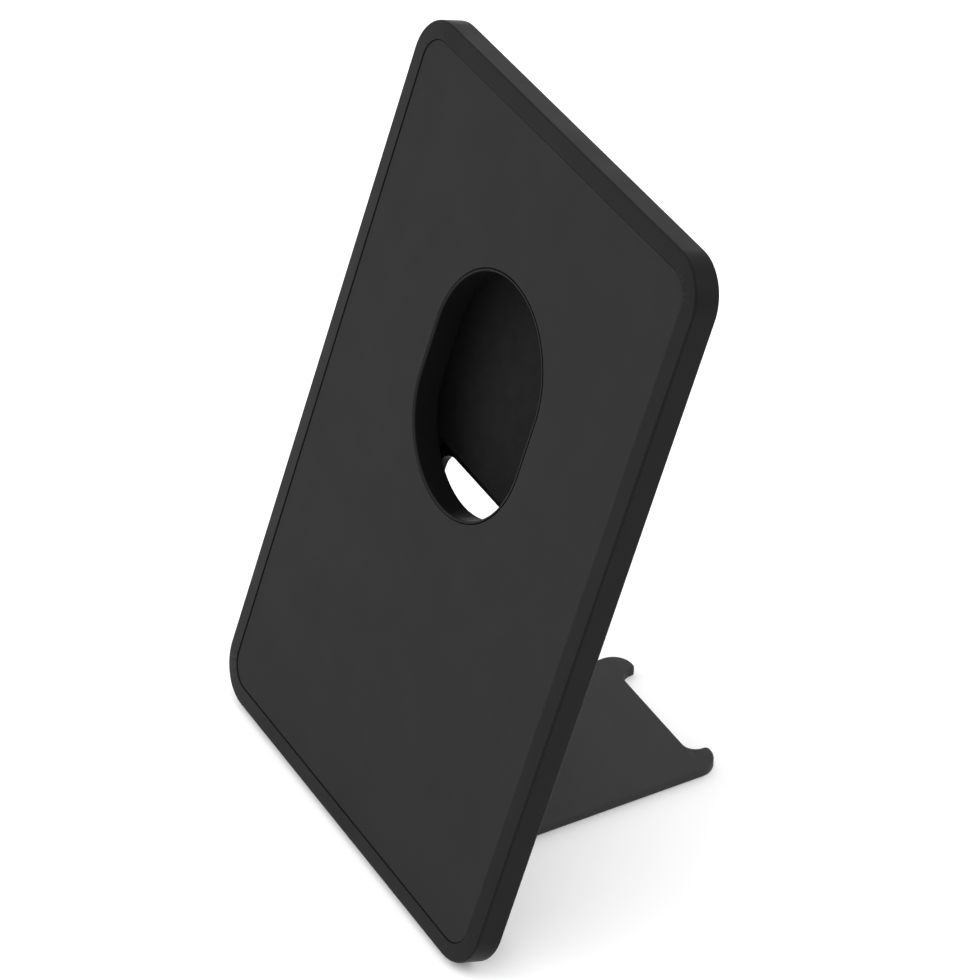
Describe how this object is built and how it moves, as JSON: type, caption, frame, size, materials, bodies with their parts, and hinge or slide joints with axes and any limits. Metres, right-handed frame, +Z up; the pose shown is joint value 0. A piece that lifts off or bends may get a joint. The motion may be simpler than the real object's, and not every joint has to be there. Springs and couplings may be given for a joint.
{
  "type": "phone stand",
  "caption": "Flat magnetic phone stand that leans back on a fold-out leg, with a soft front pad, an oblong thumb hole and a card pocket behind it.",
  "frame": {"origin": "on the table, below the middle of the open stand's box", "axes": "+X across the slab to the right seen from the front, +Y from the front to the back, +Z up"},
  "size_m": [0.07, 0.0508, 0.0992],
  "materials": {
    "frame_plastic": "fine satin texture",
    "pad_rubber": "smooth matt silicone",
    "adhesive_film": "clear adhesive film",
    "magnet_nickel": "nickel plated",
    "yoke_steel": "plain stamped steel",
    "shield_steel": "thin rolled steel sheet",
    "lining_fabric": "short microfibre nap",
    "grip_silicone": "matt silicone",
    "floor_plastic": "moulded satin",
    "shell_plastic": "fine satin texture",
    "insert_brass": "turned and knurled",
    "screw_steel": "zinc plated",
    "bracket_steel": "stamped, zinc plated",
    "pin_steel": "ground",
    "washer_steel": "plain stamped",
    "leg_coating": "satin powder coat",
    "leaf_steel": "spring steel",
    "rivet_metal": "plain"
  },
  "bodies": {
    "stand": {"front_frame": "frame_plastic", "front_pad": "pad_rubber", "pad_adhesive": "adhesive_film", "ring_magnets": "magnet_nickel", "ring_yoke": "yoke_steel", "alignment_magnet": "magnet_nickel", "alignment_yoke": "yoke_steel", "card_shield": "shield_steel", "pocket_lining": "lining_fabric", "card_grips": "grip_silicone", "pocket_floor": "floor_plastic", "back_shell": "shell_plastic", "shell_inserts": "insert_brass", "shell_screws": "screw_steel", "bracket_screws": "screw_steel", "hinge_bracket": "bracket_steel", "hinge_pin": "pin_steel", "hinge_washers": "washer_steel"},
    "leg": {"leg_plate": "leg_coating", "hinge_leaf": "leaf_steel", "leaf_rivets": "rivet_metal"}
  },
  "joints": [
    {"name": "leg_fold", "type": "hinge", "parent": "stand", "child": "leg", "pos_m": [0, -0.01715, 0.00217], "axis": [1, 0, 0], "range_deg": [0, 71.4]}
  ]
}
